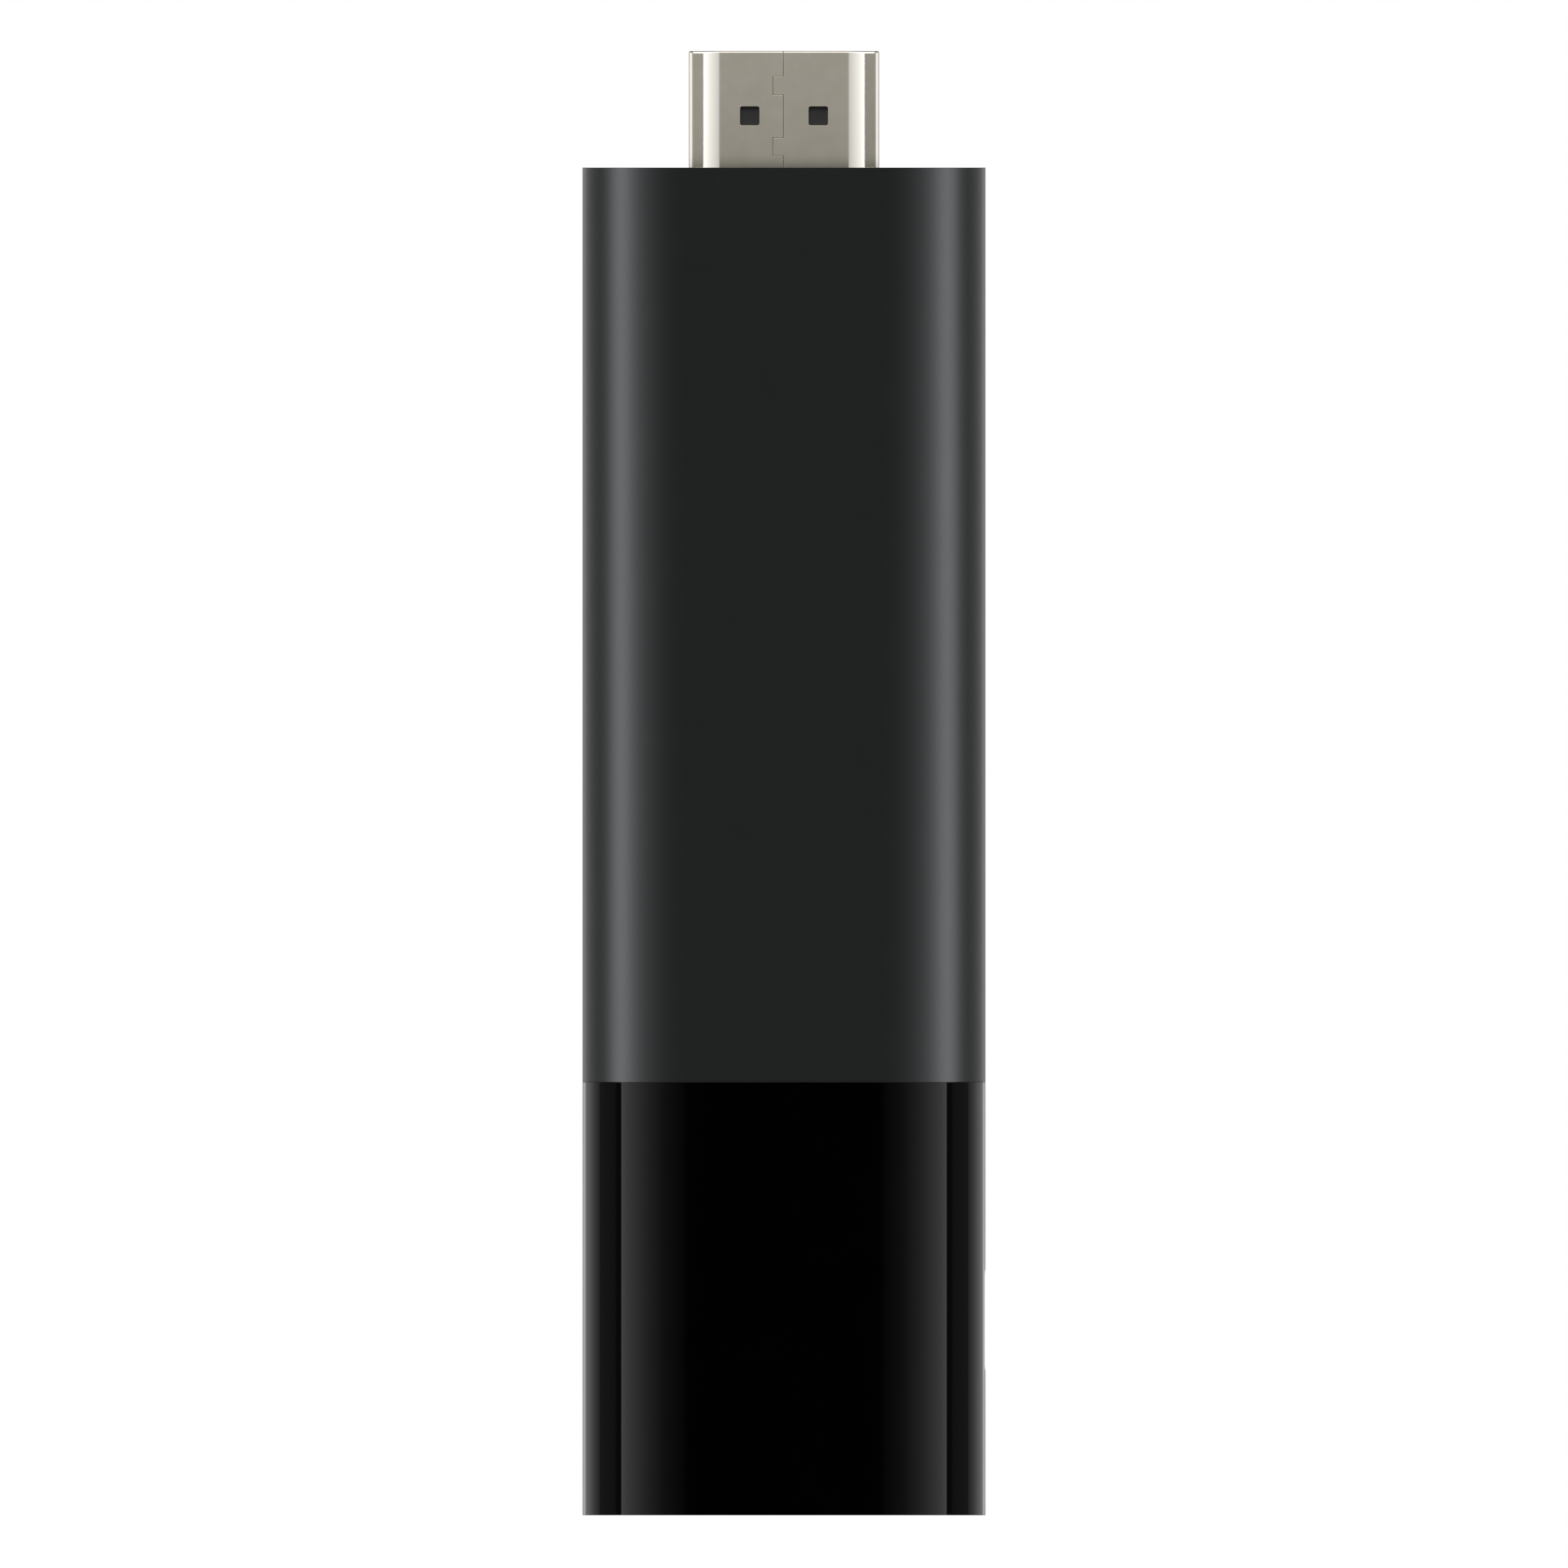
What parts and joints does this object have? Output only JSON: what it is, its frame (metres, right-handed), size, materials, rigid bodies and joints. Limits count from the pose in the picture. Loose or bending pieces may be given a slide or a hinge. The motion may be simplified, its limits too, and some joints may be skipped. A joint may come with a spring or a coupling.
{
  "type": "streaming media stick",
  "caption": "Slim round-sided media stick with a matte sleeve, a gloss end cap, a folded steel video plug at one end and a charging socket in the cap's side.",
  "frame": {"origin": "centre of the cap's flat closed end, on which the stick stands with its plug upwards", "axes": "+Z along the stick from the cap to the plug's tip, +X towards the side with the charging socket, +Y from the front to the rear"},
  "size_m": [0.0294, 0.0154, 0.1068],
  "materials": {
    "sleeve_plastic": "fine matte texture",
    "cap_plastic": "high gloss",
    "plug_steel": "satin nickel plate",
    "black_insulator": "moulded",
    "contact_gold": "gold plate",
    "circuit_board": "solder mask",
    "chip_mould": "moulded",
    "ferrite": "sintered",
    "ceramic_tan": "fired",
    "shield_steel": "tin plate",
    "heat_pad": "soft silicone",
    "cast_aluminium": "as cast",
    "screw_steel": "zinc plate",
    "carrier_plastic": "moulded",
    "antenna_bronze": "plated",
    "socket_steel": "bright plate"
  },
  "bodies": {
    "root": {"sleeve": "sleeve_plastic", "end_cap": "cap_plastic", "plug_shell": "plug_steel", "plug_insulator": "black_insulator", "plug_contacts_front": "contact_gold", "plug_contacts_rear": "contact_gold", "main_board": "circuit_board", "processor": "chip_mould", "memory_chip": "chip_mould", "storage_chip": "chip_mould", "wireless_chip": "chip_mould", "power_chip": "chip_mould", "clock_crystals": "shield_steel", "power_coils": "ferrite", "ceramic_capacitors": "ceramic_tan", "chip_resistors": "chip_mould", "front_shield_frame": "shield_steel", "front_shield_cover": "shield_steel", "rear_shield_frame": "shield_steel", "rear_shield_cover": "shield_steel", "processor_pad": "heat_pad", "wireless_pad": "heat_pad", "front_shield_pad": "heat_pad", "rear_shield_pad": "heat_pad", "front_heat_spreader": "cast_aluminium", "rear_heat_spreader": "cast_aluminium", "spreader_screws": "screw_steel", "front_antenna_carrier": "carrier_plastic", "rear_antenna_carrier": "carrier_plastic", "front_antenna": "antenna_bronze", "rear_antenna": "antenna_bronze", "usb_socket_shell": "socket_steel", "usb_socket_tongue": "black_insulator", "usb_socket_contacts": "contact_gold"}
  },
  "joints": []
}
